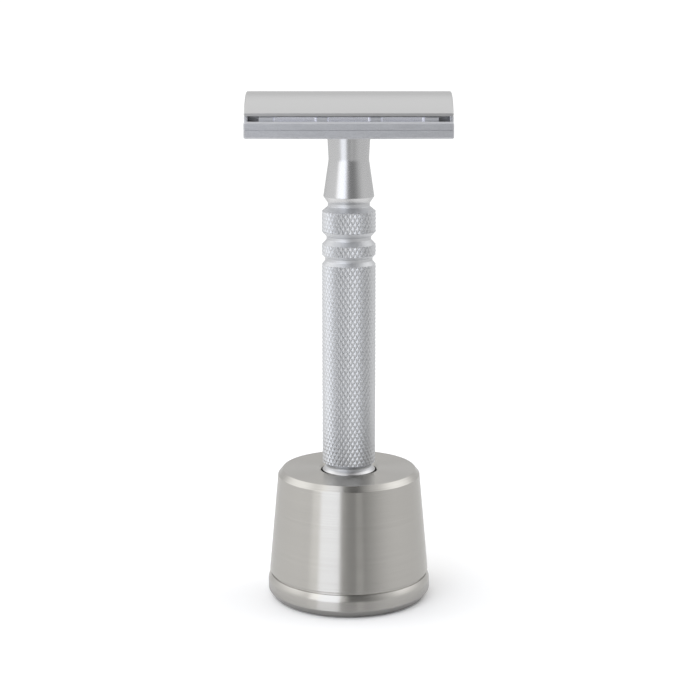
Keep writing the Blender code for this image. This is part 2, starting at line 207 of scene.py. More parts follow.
BOX_WING_AZIMUTH = (-54.0, -38.0, 9.0, 4.0)  # the soft box is wider above the horizon
BOX_WING_ELEVATION = (6.0, 50.0, 9.0, 15.0)
BOX_LEVEL = 1.98
BOX_TINT = (0.96, 0.99, 1.06)
SIDE_AZIMUTH = (90.0, 110.0, 28.0, 35.0)
SIDE_ELEVATION = (28.0, 42.0, 20.0, 25.0)
SIDE_LEVEL = 1.8
WHITE_LEVEL = 1.1  # of the backdrop that the camera sees

# Fineness of the meshes.
TURNED_SEGMENTS = 256
THREAD_COLUMNS = 32
SMALL_SEGMENTS = 64
TROUGH_STEPS = 12
FILLET_STEPS = 16
BEND_STEPS = 40
BLADE_STEPS = 60
CAP_STEPS = 72
ROUND_STEP = math.radians(12)
SHARP_ANGLE = math.radians(28)  # between two faces that are shaded as an edge
ROUNDED_ANGLE = math.radians(30)  # and between two faces whose edge is rounded on the head


# Meshes.


def arc(centre, radius, start, end, steps):
    """Points on a circle from one angle to another, both ends included. Angles are in radians."""
    angles = (start + (end - start) * step / steps for step in range(steps + 1))
    return [
        (centre[0] + radius * math.cos(angle), centre[1] + radius * math.sin(angle))
        for angle in angles
    ]


def rounded(corners):
    """The open outline through corners (x, y, radius), with each inner corner rounded to its radius."""
    outline = []
    for index, (x, y, radius) in enumerate(corners):
        here = Vector((x, y))
        if radius == 0 or index in (0, len(corners) - 1):
            outline.append((x, y))
            continue
        back = (Vector(corners[index - 1][:2]) - here).normalized()
        ahead = (Vector(corners[index + 1][:2]) - here).normalized()
        half_angle = back.angle(ahead) / 2
        centre = here + (back + ahead).normalized() * (radius / math.sin(half_angle))
        reach = radius / math.tan(half_angle)
        first = here + back * reach - centre
        turn = first.angle_signed(here + ahead * reach - centre)
        steps = max(2, math.ceil(abs(turn) / ROUND_STEP))
        for step in range(steps + 1):
            point = centre + Matrix.Rotation(-turn * step / steps, 2) @ first
            outline.append((point.x, point.y))
    return outline


def finish_object(name, mesh, material):
    """An object that holds the mesh, shaded smooth but for its sharp edges. No material makes a cutter."""
    mesh.shade_smooth()
    mesh.set_sharp_from_angle(angle=SHARP_ANGLE)
    made = bpy.data.objects.new(name, mesh)
    bpy.context.scene.collection.objects.link(made)
    if material:
        mesh.materials.append(material)
    else:
        made.hide_render = True
        made.display_type = "WIRE"
    return made


def object_from_bmesh(name, builder, material=None):
    bmesh.ops.recalc_face_normals(builder, faces=builder.faces)
    mesh = bpy.data.meshes.new(name)
    builder.to_mesh(mesh)
    builder.free()
    return finish_object(name, mesh, material)


def turned(name, outline, segments, material):
    """A solid of revolution about Z. The outline is (radius, z) and starts and ends on the axis."""
    return turned_with(name, outline, segments, material, lambda radius, column, z: radius)


def turned_with(name, outline, segments, material, radius_at, splits=None):
    """A turned solid whose radius may also change round the axis, as radius_at(radius, column, z) says.

    splits(column, low_z, high_z) says which way a four-sided cell is split in two: "rising", "falling" or
    None to leave it whole.
    """
    vertices = [(0, 0, outline[0][1])]
    for radius, z in outline[1:-1]:
        for column in range(segments):
            angle = math.tau * column / segments
            reach = radius_at(radius, column, z)
            vertices.append((reach * math.cos(angle), reach * math.sin(angle), z))
    vertices.append((0, 0, outline[-1][1]))
    last = len(vertices) - 1
    rows = len(outline) - 2

    def at(row, column):
        return 1 + row * segments + column % segments

    faces = []
    for column in range(segments):
        faces.append((0, at(0, column + 1), at(0, column)))
        faces.append((last, at(rows - 1, column), at(rows - 1, column + 1)))
    for row in range(rows - 1):
        low_z, high_z = outline[row + 1][1], outline[row + 2][1]
        for column in range(segments):
            a, b = at(row, column), at(row, column + 1)
            c, d = at(row + 1, column + 1), at(row + 1, column)
            split = splits(column, low_z, high_z) if splits else None
            if split == "rising":
                faces += [(a, b, c), (a, c, d)]
            elif split == "falling":
                faces += [(a, b, d), (b, c, d)]
            else:
                faces.append((a, b, c, d))
    mesh = bpy.data.meshes.new(name)
    mesh.from_pydata(vertices, [], faces)
    mesh.validate()
    made = finish_object(name, mesh, material)
    keep_faces_flat(made)
    apply_modifiers(made)
    return made


def in_four_quarters(outline):
    """The outline with its mirror images in X, in Y and in both."""
    return [[(x_side * x, y_side * y) for x, y in outline] for x_side in (-1, 1) for y_side in (-1, 1)]


def add_prism(builder, outline, axis, low, high):
    """Adds the prism whose closed outline lies across the axis, from low to high along it."""

    def place(point, along):
        return (along, *point) if axis == "X" else (*point, along)

    face = builder.faces.new([builder.verts.new(place(point, low)) for point in outline])
    extruded = bmesh.ops.extrude_face_region(builder, geom=[face])["geom"]
    moved = [part for part in extruded if isinstance(part, bmesh.types.BMVert)]
    bmesh.ops.translate(builder, verts=moved, vec=Vector(place((0, 0), high - low)))


def prism(name, outline, axis, low, high, material=None, end_bevel=0):
    """One prism. With an end_bevel, the edges round both of its ends are bevelled."""
    builder = bmesh.new()
    add_prism(builder, outline, axis, low, high)
    if end_bevel:
        ends = [face for face in builder.faces if len(face.verts) == len(outline)]
        edges = [edge for face in ends for edge in face.edges]
        bmesh.ops.bevel(builder, geom=edges, offset=end_bevel, segments=1, affect="EDGES")
    return object_from_bmesh(name, builder, material)


def boolean(target, tool, operation):
    change = target.modifiers.new(f"{operation.lower()}_{tool.name}", "BOOLEAN")
    change.operation = operation
    change.solver = "EXACT"
    change.object = tool


def round_edges(target):
    """Rounds the clear edges of a piece of the head."""
    bevel = target.modifiers.new("edge_rounds", "BEVEL")
    bevel.width = HEAD_EDGE_ROUND
    bevel.segments = 2
    bevel.limit_method = "ANGLE"
    bevel.angle_limit = ROUNDED_ANGLE


def keep_faces_flat(target):
    """Lets the larger faces set the smooth shading, so that flat faces look flat up to their edges."""
    weighted = target.modifiers.new("flat_faces", "WEIGHTED_NORMAL")
    weighted.keep_sharp = True


def apply_modifiers(target):
    """Makes the evaluated mesh the object's own, and removes the cutters that it used."""
    graph = bpy.context.evaluated_depsgraph_get()
    mesh = bpy.data.meshes.new_from_object(target.evaluated_get(graph))
    tools = [change.object for change in target.modifiers if change.type == "BOOLEAN"]
    target.modifiers.clear()
    target.data = mesh
    for tool in tools:
        bpy.data.objects.remove(tool)


def rod_cutters(name, places, low, high):
    """Upright round cutters, one for each (x, radius), as one helper object."""
    builder = bmesh.new()
    for x, radius in places:
        circle = arc((x, 0), radius, 0, math.tau, SMALL_SEGMENTS)[:-1]
        add_prism(builder, circle, "Z", low, high)
    return object_from_bmesh(name, builder)


# Materials.


def add_node(tree, kind, inputs=None, **settings):
    """Adds a node. Each input is given a value, or is linked where the value is another node's socket."""
    node = tree.nodes.new(kind)
    for name, value in settings.items():
        setattr(node, name, value)
    for key, value in (inputs or {}).items():
        if isinstance(value, bpy.types.NodeSocket):
            tree.links.new(value, node.inputs[key])
        else:
            node.inputs[key].default_value = value
    return node


def calculate(tree, operation, *values):
    return add_node(tree, "ShaderNodeMath", dict(enumerate(values)), operation=operation).outputs[0]


def map_range(tree, value, from_low, from_high, to_low=0.0, to_high=1.0, curve="SMOOTHSTEP"):
    limits = {"From Min": from_low, "From Max": from_high, "To Min": to_low, "To Max": to_high}
    node = add_node(tree, "ShaderNodeMapRange", {"Value": value, **limits}, interpolation_type=curve)
    return node.outputs[0]


def window(tree, value, low, high, low_edge, high_edge):
    """1 between low and high, falling smoothly to 0 over the given edge outside each of them."""
    rise = map_range(tree, value, low - low_edge, low)
    fall = map_range(tree, value, high, high + high_edge, 1.0, 0.0)
    return calculate(tree, "MULTIPLY", rise, fall)


def noise(tree, vector, scale, detail=2.0):
    inputs = {"Vector": vector, "Scale": scale, "Detail": detail}
    return add_node(tree, "ShaderNodeTexNoise", inputs).outputs["Fac"]


def mix_colours(tree, share, first, second):
    node = add_node(tree, "ShaderNodeMix", {"Factor": share}, data_type="RGBA")
    node.inputs[6].default_value = (*first, 1.0)
    node.inputs[7].default_value = (*second, 1.0)
    return node.outputs[2]


def place_in_object(tree):
    return add_node(tree, "ShaderNodeTexCoord").outputs["Object"]


def stretched(tree, vector, factors):
    inputs = {0: vector, 1: factors}
    return add_node(tree, "ShaderNodeVectorMath", inputs, operation="MULTIPLY").outputs[0]


def place_on_lathe(tree):
    """The point as (distance from the Z axis, angle round it, height), so that noise runs round the axis."""
    split = add_node(tree, "ShaderNodeSeparateXYZ", {0: place_in_object(tree)})
    x, y, z = split.outputs
    squares = calculate(tree, "ADD", calculate(tree, "MULTIPLY", x, x), calculate(tree, "MULTIPLY", y, y))
    distance = calculate(tree, "SQRT", squares)
    angle = calculate(tree, "ARCTAN2", y, x)
    return add_node(tree, "ShaderNodeCombineXYZ", {0: distance, 1: angle, 2: z}).outputs[0]


def new_material(name, metallic=1.0, anisotropy=0.0, turned_about_z=False):
    """A material, its node tree and its shader. The grain of a turned piece runs round the Z axis."""
    material = bpy.data.materials.new(name)
    material.use_nodes = True
    tree = material.node_tree
    shader = tree.nodes["Principled BSDF"]
    shader.inputs["Metallic"].default_value = metallic
    shader.inputs["Anisotropic"].default_value = anisotropy
    if turned_about_z:
        tangent = add_node(tree, "ShaderNodeTangent", direction_type="RADIAL", axis="Z")
        tree.links.new(tangent.outputs[0], shader.inputs["Tangent"])
        shader.inputs["Anisotropic Rotation"].default_value = AROUND_AXIS
    return material, tree, shader


def set_surface(tree, shader, colour, roughness, height, relief):
    """Links colour and roughness to the shader, and the height as a bump whose full relief is in metres."""
    tree.links.new(colour, shader.inputs["Base Color"])
    tree.links.new(roughness, shader.inputs["Roughness"])
    bump = add_node(tree, "ShaderNodeBump", {"Height": height, "Distance": relief})
    tree.links.new(bump.outputs[0], shader.inputs["Normal"])


def turned_steel(name, dark, light, smooth, rough, anisotropy, relief):
    """Steel finished on a lathe: fine lines round the axis, and slow patches of more and less sheen."""
    material, tree, shader = new_material(name, anisotropy=anisotropy, turned_about_z=True)
    lathe = place_on_lathe(tree)
    drawn_out = stretched(tree, lathe, (1.0, LATHE_LINE_STRETCH, 1.0))
    lines = noise(tree, drawn_out, LATHE_LINE_SCALE, detail=3.0)
    patches = noise(tree, stretched(tree, lathe, (1.0, LATHE_PATCH_STRETCH, 1.0)), LATHE_PATCH_SCALE)
    colour = mix_colours(tree, map_range(tree, lines, *NOISE_RANGE), dark, light)
    roughness = map_range(tree, patches, *NOISE_RANGE, smooth, rough)
    set_surface(tree, shader, colour, roughness, lines, relief)
    return material


def blasted_steel(name, dark, light, smooth, rough, grain, relief):
    """Bead-blasted steel: a fine even grain without a direction."""
    material, tree, shader = new_material(name)
    place = place_in_object(tree)
    grains = noise(tree, place, 1 / grain)
    patches = noise(tree, place, BLAST_PATCH_SCALE)
    colour = mix_colours(tree, map_range(tree, grains, *NOISE_RANGE), dark, light)
    roughness = map_range(tree, patches, *NOISE_RANGE, smooth, rough)
    set_surface(tree, shader, colour, roughness, grains, relief)
    return material


def knurled_steel(name, smooth_colour, knurl_painted_light_colour, smooth, knurl_roughness, grain, relief):
    """Fine-turned steel, which is rougher along the knurled grip, and paler there as painted light."""
    material, tree, shader = new_material(name)
    place = place_in_object(tree)
    grains = noise(tree, place, 1 / grain)
    height = add_node(tree, "ShaderNodeSeparateXYZ", {0: place}).outputs[2]
    knurled = window(tree, height, *GRIP_ROUGHNESS_AND_PAINTED_LIGHT_HEIGHT)
    colour = mix_colours(tree, knurled, smooth_colour, knurl_painted_light_colour)
    varied = calculate(tree, "MULTIPLY_ADD", grains, GRIP_ROUGHNESS_SPREAD, -GRIP_ROUGHNESS_SPREAD / 2)
    roughness = calculate(tree, "ADD", map_range(tree, knurled, 0.0, 1.0, smooth, knurl_roughness), varied)
    set_surface(tree, shader, colour, roughness, grains, relief)
    return material


def milled_steel(name, dark, light, smooth, rough, relief):
    """Milled steel: fine lines along X, broken up by a grain."""
    material, tree, shader = new_material(name)
    place = place_in_object(tree)
    lines = noise(tree, stretched(tree, place, (MILL_LINE_STRETCH, 1.0, 1.0)), MILL_LINE_SCALE)
    grains = noise(tree, place, MILL_GRAIN_SCALE)
    height = calculate(tree, "ADD", lines, grains)
    colour = mix_colours(tree, map_range(tree, height, *NOISE_SUM_RANGE), dark, light)
    roughness = map_range(tree, grains, *NOISE_RANGE, smooth, rough)
    set_surface(tree, shader, colour, roughness, height, relief)
    return material


def paint_light_on_troughs(material, trough_painted_light_colour, trough_roughness):
    """Paints a paler colour as painted light on both troughs' inner walls, and makes them less rough."""
    tree = material.node_tree
    shader = tree.nodes["Principled BSDF"]
    base, roughness = shader.inputs["Base Color"], shader.inputs["Roughness"]
    split = add_node(tree, "ShaderNodeSeparateXYZ", {0: place_in_object(tree)})
    along = window(tree, split.outputs[0], *TROUGH_PAINTED_LIGHT_LENGTH)
    across = window(tree, calculate(tree, "ABSOLUTE", split.outputs[1]), *TROUGH_PAINTED_LIGHT_WIDTH)
    share = calculate(tree, "MULTIPLY", along, across)
    colours = {"Factor": share, 6: base.links[0].from_socket, 7: (*trough_painted_light_colour, 1.0)}
    mixed = add_node(tree, "ShaderNodeMix", colours, data_type="RGBA")
    tree.links.new(mixed.outputs[2], base)
    levels = {"Factor": share, 2: roughness.links[0].from_socket, 3: trough_roughness}
    blended = add_node(tree, "ShaderNodeMix", levels, data_type="FLOAT")
    tree.links.new(blended.outputs[0], roughness)


def moulded_rubber(name, dark, light, smooth, rough, relief):
    """Rubber with a fine even grain."""
    material, tree, shader = new_material(name, metallic=0.0)
    grains = noise(tree, place_in_object(tree), RUBBER_GRAIN_SCALE, detail=3.0)
    colour = mix_colours(tree, grains, dark, light)
    roughness = map_range(tree, grains, *NOISE_RANGE, smooth, rough)
    set_surface(tree, shader, colour, roughness, grains, relief)
    return material


# Pieces.


def stand_in_for(piece, node, body):
    """The piece is shown instead of the CAD node, and moves with its body."""
    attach(piece, body)
    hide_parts(node)


def make_stand(material):
    low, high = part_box("stand_body")
    corners = (
        (0, low.z, 0),
        (STAND_FOOT_RADIUS, low.z, STAND_FOOT_ROUND),
        (high.x, RING_CHAMFER_Z, RING_FOOT_ROUND),
        (high.x, RING_SHOULDER_Z, RING_SHOULDER_ROUND),
        (RING_TOP_RADIUS, RING_TOP_Z, SHARP_ROUND),
        (LINE_GROOVE_RADIUS, RING_TOP_Z, SHARP_ROUND),
        (LINE_GROOVE_RADIUS, LINE_GROOVE_TOP, SHARP_ROUND),
        (FLANK_FOOT_RADIUS, LINE_GROOVE_TOP, FLANK_FOOT_ROUND),
        (FLANK_TOP_RADIUS, STAND_CHAMFER_Z, STAND_EDGE_ROUND),
        (STAND_TOP_RADIUS, high.z, STAND_EDGE_ROUND),
        (COUNTERSINK_RADIUS, high.z, SHARP_ROUND),
        (STAND_BORE_RADIUS, high.z - COUNTERSINK_DEPTH, SHARP_ROUND),
        (STAND_BORE_RADIUS, BORE_FLOOR_Z, BORE_FLOOR_ROUND),
        (0, BORE_FLOOR_Z, 0),
    )
    stand = turned("turned_stand", rounded(corners), TURNED_SEGMENTS, material)
    stand_in_for(stand, "stand_body", "stand")


def make_foot_pad(material):
    """A thin disc. Its underside has shallow rings, whose sides slope at 45 degrees."""
    low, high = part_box("foot_pad")
    ring_z = low.z + PAD_RING_DEPTH
    corners = [(0, low.z, 0)]
    for ring in range(PAD_RINGS):
        start = PAD_RING_START + ring * PAD_RING_PITCH
        end = start + PAD_RING_WIDTH
        corners += [(start, low.z, 0), (start + PAD_RING_DEPTH, ring_z, 0)]
        corners += [(end, ring_z, 0), (end + PAD_RING_DEPTH, low.z, 0)]
    corners += [(high.x, low.z, PAD_ROUND), (high.x, high.z, SHARP_ROUND), (0, high.z, 0)]
    pad = turned("ribbed_foot_pad", rounded(corners), TURNED_SEGMENTS // 2, material)
    stand_in_for(pad, "foot_pad", "stand")


def groove_corners(groove, grip_radius, upper_radius):
    """A turned groove from its lower edge on the grip to its upper edge, which may have another radius."""
    middle, radius, length, lower, upper = groove
    return [
        (grip_radius, lower, EDGE_ROUND),
        (radius, middle - length / 2, EDGE_ROUND),
        (radius, middle + length / 2, EDGE_ROUND),
        (upper_radius, upper, EDGE_ROUND),
    ]


def with_knurl_rows(outline, lowest_radius, in_band):
    """The outline with a row added at each knurl row's height, wherever the knurl cuts into it."""
    spacing = KNURL_PERIOD / CELLS_PER_TOOTH
    rows = []
    for (radius, z), (next_radius, next_z) in zip(outline, outline[1:]):
        rows.append((radius, z))
        first = math.ceil(z / spacing + ROW_MARGIN)
        last = math.floor(next_z / spacing - ROW_MARGIN)
        for row in range(first, last + 1):
            height = row * spacing
            reach = radius + (next_radius - radius) * (height - z) / (next_z - z)
            if reach > lowest_radius and in_band(height):
                rows.append((reach, height))
    return rows + [outline[-1]]


def knurl_waves(column, z):
    """How far round the two sets of helices a point is, in grooves."""
    around = column / CELLS_PER_TOOTH
    up = z / KNURL_PERIOD
    return around + up, around - up


def from_nearest(wave):
    """Distance to the nearest whole number, which is where a groove's bottom or a thread's crest lies."""
    return abs(wave - round(wave))


def make_handle(material):
    low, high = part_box("handle")
    length, grip_radius = high.z - low.z, high.x
    corners = [(0, 0, 0), (grip_radius - FOOT_CHAMFER, 0, 0), (grip_radius, FOOT_CHAMFER, 0)]
    bands = []
    band_foot = FOOT_CHAMFER
    for groove in (*GROOVES, TOP_GROOVE):
        upper_radius = NECK_FLARE_RADIUS if groove is TOP_GROOVE else grip_radius
        corners += groove_corners(groove, grip_radius, upper_radius)
        if groove is not GROOVES[0]:
            bands.append((band_foot - KNURL_RUN_OUT, groove[3] + KNURL_RUN_OUT))
        band_foot = groove[4]
    corners += [
        (NECK_WAIST_RADIUS, NECK_WAIST_Z, NECK_WAIST_ROUND),
        (NECK_TOP_RADIUS, length, NECK_TOP_ROUND),
        (BORE_RADIUS + BORE_CHAMFER, length, 0),
        (BORE_RADIUS, length - BORE_CHAMFER, 0),
        (BORE_RADIUS, length - BORE_DEPTH, 0),
        (0, length - BORE_DEPTH - DRILL_POINT, 0),
    ]

    def in_band(z):
        return any(band_low < z < band_high for band_low, band_high in bands)

    def radius_at(radius, column, z):
        if radius < grip_radius - KNURL_DEPTH or not in_band(z):
            return radius
        nearest = min(from_nearest(wave) for wave in knurl_waves(column, z))
        sunk = KNURL_DEPTH * (1 - min(1, nearest / KNURL_FLAT_SHARE))
        return min(radius, grip_radius - sunk)

    def splits(column, low_z, high_z):
        middle = (low_z + high_z) / 2
        if not in_band(middle):
            return None
        rising, falling = (from_nearest(wave) for wave in knurl_waves(column + 0.5, middle))
        return "falling" if rising < falling else "rising"

    rows = with_knurl_rows(rounded(corners), grip_radius - KNURL_DEPTH, in_band)
    columns = KNURL_TEETH * CELLS_PER_TOOTH
    handle = turned_with("knurled_handle", rows, columns, material, radius_at, splits)
    handle.location.z = low.z
    stand_in_for(handle, "handle", "handle")


def bend_height(radius, y):
    """Height above the base plate's underside of a cylinder that shares the bent blade's centre line."""
    return BLADE_CREST_Z - BLADE_BEND_RADIUS + math.sqrt(radius**2 - y**2)


def bend_points(radius, half_width):
    """Points over the bend, from +half_width to -half_width."""
    places = [half_width * (1 - 2 * step / BEND_STEPS) for step in range(BEND_STEPS + 1)]
    return [(y, bend_height(radius, y)) for y in places]


def plate_half_outline(edge):
    """Right half of the base plate's section across X, from the underside up over the guard to the land."""
    face = edge - GUARD_STEP
    inner = edge - GUARD_THICKNESS
    floor = GUARD_TOP - TROUGH_DEPTH
    foot = (LAND_WIDTH / 2 + TROUGH_ROUND, floor + TROUGH_ROUND)
    outside = [
        (edge - PLATE_CHAMFER, 0),
        (edge, PLATE_CHAMFER),
        (edge, GUARD_STEP_Z),
        (face, GUARD_STEP_Z + GUARD_STEP / 2),
        (face, GUARD_TOP - GUARD_CHAMFER),
        (face - GUARD_CHAMFER, GUARD_TOP),
        (inner + GUARD_CHAMFER, GUARD_TOP),
        (inner, GUARD_TOP - GUARD_CHAMFER),
        (inner, floor),
    ]
    return outside + arc(foot, TROUGH_ROUND, 1.5 * math.pi, math.pi, TROUGH_STEPS)


def make_lugs():
    """The lugs and end posts in both troughs, from the land's walls to the guard bars under the blade."""
    under_radius = BLADE_BEND_RADIUS - BLADE_THICKNESS / 2
    edge_y = under_radius * math.sin(BLADE_WIDTH / 2 / BLADE_BEND_RADIUS)
    top = bend_height(under_radius, edge_y) - CLAMP_GAP
    foot = GUARD_TOP - TROUGH_DEPTH - LUG_ROOT_DEPTH
    root = LAND_WIDTH / 2 - LUG_ROOT_DEPTH
    quarter = math.pi / 2
    builder = bmesh.new()
    for near, far in LUG_FACES:
        centre, half = (near + far) / 2, (far - near) / 2
        fillet = (half + LUG_FILLET, root + LUG_FILLET)
        side = arc(fillet, LUG_FILLET, -quarter, -2 * quarter, FILLET_STEPS) + [(half, LUG_FRONT_Y)]
        outline = side + [(-x, y) for x, y in reversed(side)]
        for x_side in (-1, 1):
            for y_side in (-1, 1):
                placed = [(x_side * centre + x, y_side * y) for x, y in outline]
                add_prism(builder, placed, "Z", foot, top)
    near, far = POST_FACES
    post = [(near, root), (far, root), (far, LUG_FRONT_Y), (near, LUG_FRONT_Y)]
    for outline in in_four_quarters(post):
        add_prism(builder, outline, "Z", foot, top)
    return object_from_bmesh("lugs", builder)


def make_pocket_cutters(edge):
    """What is cut from the land's four corners, outside the blade's tabs."""
    near, far = POCKET_ENDS
    outer = (LAND_WIDTH / 2 + TROUGH_ROUND + edge - GUARD_THICKNESS) / 2
    pocket = [(near, POCKET_INNER_Y), (far, POCKET_INNER_Y), (far, outer), (near, outer)]
    builder = bmesh.new()
    for outline in in_four_quarters(pocket):
        add_prism(builder, outline, "Z", POCKET_FLOOR_Z, CAP_CREST_Z)
    return object_from_bmesh("pocket_cutters", builder)


def make_base_plate(material):
    low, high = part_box("base_plate")
    half = plate_half_outline(high.y)
    land_radius = BLADE_BEND_RADIUS - BLADE_THICKNESS / 2 - CLAMP_GAP
    land = bend_points(land_radius, LAND_WIDTH / 2)
    outline = half + land + [(-y, z) for y, z in reversed(half)]
    plate = prism("milled_base_plate", outline, "X", low.x, high.x, material, PLATE_END_CHAMFER)
    boolean(plate, make_lugs(), "UNION")
    boolean(plate, make_pocket_cutters(high.y), "DIFFERENCE")
    holes = [(0, BORE_RADIUS)] + [(side * PIN_OFFSET, PIN_HOLE) for side in (-1, 1)]
    boolean(plate, rod_cutters("plate_holes", holes, -MM, 2 * CAP_CREST_Z), "DIFFERENCE")
    round_edges(plate)
    keep_faces_flat(plate)
    apply_modifiers(plate)
    plate.location.z = low.z
    stand_in_for(plate, "base_plate", "plate")


def make_blade(material, plate_z):
    """The blade as it is clamped: bent over the land, with both long edges ground thin."""
    half_angle = BLADE_WIDTH / 2 / BLADE_BEND_RADIUS
    upper, lower = [], []
    for step in range(BLADE_STEPS + 1):
        angle = half_angle * (1 - 2 * step / BLADE_STEPS)
        from_edge = (half_angle - abs(angle)) * BLADE_BEND_RADIUS
        share = min(1, from_edge / BLADE_BEVEL)
        thickness = BLADE_EDGE_THICKNESS + share * (BLADE_THICKNESS - BLADE_EDGE_THICKNESS)
        for points, radius in (
            (upper, BLADE_BEND_RADIUS + thickness / 2),
            (lower, BLADE_BEND_RADIUS - thickness / 2),
        ):
            z = BLADE_CREST_Z - BLADE_BEND_RADIUS + radius * math.cos(angle)
            points.append((radius * math.sin(angle), z))
    low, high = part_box("blade")
    blade = prism("ground_blade", upper + lower[::-1], "X", low.x, high.x, material)

    cut_low, cut_high = 0, 2 * CAP_CREST_Z
    near, far = BLADE_EDGE_LENGTH / 2, 2 * high.x
    inner, outer = BLADE_TAB_WIDTH / 2, BLADE_WIDTH
    notch = [(near, inner), (far, inner), (far, outer), (near, outer)]
    builder = bmesh.new()
    for outline in in_four_quarters(notch):
        add_prism(builder, outline, "Z", cut_low, cut_high)
    boolean(blade, object_from_bmesh("blade_notches", builder), "DIFFERENCE")
    half_slot = BLADE_SLOT_WIDTH / 2
    straight = BLADE_SLOT_LENGTH / 2 - half_slot
    quarter = math.pi / 2
    slot = arc((straight, 0), half_slot, -quarter, quarter, FILLET_STEPS)
    slot += arc((-straight, 0), half_slot, quarter, 3 * quarter, FILLET_STEPS)
    boolean(blade, prism("blade_slot", slot, "Z", cut_low, cut_high), "DIFFERENCE")
    holes = [(0, BLADE_STUD_HOLE)] + [(side * PIN_OFFSET, PIN_HOLE) for side in (-1, 1)]
    boolean(blade, rod_cutters("blade_holes", holes, cut_low, cut_high), "DIFFERENCE")
    keep_faces_flat(blade)
    apply_modifiers(blade)
    blade.location.z = plate_z
    stand_in_for(blade, "blade", "blade")


def make_cap(material, plate_z):
    """The cap: a cylinder's arc over its top, an upright lip along each side and a hollow underside."""
    low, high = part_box("top_cap")
    half = CAP_WIDTH / 2
    drop = CAP_CREST_Z - CAP_LIP_Z
    radius = (half**2 + drop**2) / (2 * drop)
    reach = math.asin(half / radius)
    quarter = math.pi / 2
    over = arc((0, CAP_CREST_Z - radius), radius, quarter + reach, quarter - reach, CAP_STEPS)
    under_radius = BLADE_BEND_RADIUS + BLADE_THICKNESS / 2 + CLAMP_GAP
    outline = over + bend_points(under_radius, half)
    cap = prism("satin_cap", outline, "X", low.x, high.x, material, CAP_END_BEVEL)
    seats = [(0, STUD_RADIUS + FIT_GAP)]
    seats += [(side * PIN_OFFSET, PIN_RADIUS + FIT_GAP) for side in (-1, 1)]
    seat_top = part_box("cap_stud")[1].z - plate_z + FIT_GAP
    boolean(cap, rod_cutters("cap_seats", seats, 0, seat_top), "DIFFERENCE")
    round_edges(cap)
    keep_faces_flat(cap)
    apply_modifiers(cap)
    cap.location.z = plate_z
    stand_in_for(cap, "top_cap", "cap")


def make_stud(material):
    """The cap's stud. Its thread is right-handed: it rises one row as it goes one column round."""
    low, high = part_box("cap_stud")
    length = high.z - low.z
    spacing = THREAD_PITCH / THREAD_COLUMNS
    rows = [(0, 0), (STUD_RADIUS - STUD_CHAMFER, 0)]
    for row in range(1, math.ceil(length / spacing)):
        z = row * spacing
        rows.append((min(STUD_RADIUS, STUD_RADIUS - STUD_CHAMFER + z), z))
    rows += [(STUD_RADIUS, length), (0, length)]

    def radius_at(radius, column, z):
        from_crest = from_nearest(z / THREAD_PITCH - column / THREAD_COLUMNS)
        share = (from_crest - THREAD_CREST_SHARE) / THREAD_FLANK_SHARE
        return min(radius, STUD_RADIUS - THREAD_DEPTH * min(1, max(0, share)))

    def splits(column, low_z, high_z):
        return "rising"

    stud = turned_with("threaded_stud", rows, THREAD_COLUMNS, material, radius_at, splits)
    stud.location.z = low.z
    stand_in_for(stud, "cap_stud", "cap")


def make_pin(name, node, material):
    low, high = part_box(node)
    length = high.z - low.z
    corners = (
        (0, 0, 0),
        (PIN_RADIUS - PIN_CHAMFER, 0, SHARP_ROUND),
        (PIN_RADIUS, PIN_CHAMFER, PIN_SHOULDER_ROUND),
        (PIN_RADIUS, length, SHARP_ROUND),
        (0, length, 0),
    )
    pin = turned(name, rounded(corners), SMALL_SEGMENTS, material)
    pin.location = ((low.x + high.x) / 2, 0, low.z)
    stand_in_for(pin, node, "cap")


# Studio.


def make_camera():
    camera = bpy.data.objects.new("camera", bpy.data.cameras.new("camera"))
    bpy.context.scene.collection.objects.link(camera)
    camera.location = CAMERA_PLACE
    camera.rotation_euler = (math.pi / 2 - CAMERA_PITCH, 0, 0)
    camera.data.lens = CAMERA_LENS_MM
    camera.data.sensor_width = CAMERA_SENSOR_MM
    camera.data.clip_start = CAMERA_CLIP_START
    bpy.context.scene.camera = camera


def make_floor():
    """A pale sheet. Away from the stand only the camera sees it, as in a cut-out product picture."""
    material = bpy.data.materials.new("white_sheet")
    material.use_nodes = True
    tree = material.node_tree
    tree.nodes.remove(tree.nodes["Principled BSDF"])
    seen = add_node(tree, "ShaderNodeLightPath").outputs["Is Camera Ray"]
    # Reflections see the sheet in a darker colour, which is painted shade.
    colour = mix_colours(tree, seen, FLOOR_PAINTED_SHADE_COLOUR, FLOOR_COLOUR)
    paper = add_node(tree, "ShaderNodeBsdfDiffuse", {"Color": colour})
    clear = add_node(tree, "ShaderNodeBsdfTransparent")
    place = place_in_object(tree)
    distance = add_node(tree, "ShaderNodeVectorMath", {0: place}, operation="LENGTH").outputs["Value"]
    near = map_range(tree, distance, *CONTACT_FADE, 1.0, 0.0)
    solid = calculate(tree, "MAXIMUM", seen, near)
    both = add_node(tree, "ShaderNodeMixShader", {0: solid, 1: clear.outputs[0], 2: paper.outputs[0]})
    tree.links.new(both.outputs[0], tree.nodes["Material Output"].inputs["Surface"])
    builder = bmesh.new()
    bmesh.ops.create_circle(builder, cap_ends=True, radius=FLOOR_RADIUS, segments=TURNED_SEGMENTS)
    mesh = bpy.data.meshes.new("floor")
    builder.to_mesh(mesh)
    builder.free()
    finish_object("floor", mesh, material)


def patch(tree, level, azimuth, azimuth_window, elevation, elevation_window, patch_level):
    """The level, brought to the patch's own level inside both windows. Also gives the patch's share."""
    across = window(tree, azimuth, *azimuth_window)
    share = calculate(tree, "MULTIPLY", across, window(tree, elevation, *elevation_window))
    mixed = add_node(tree, "ShaderNodeMix", {0: share, 2: level, 3: patch_level}, data_type="FLOAT")
    return mixed.outputs[0], share


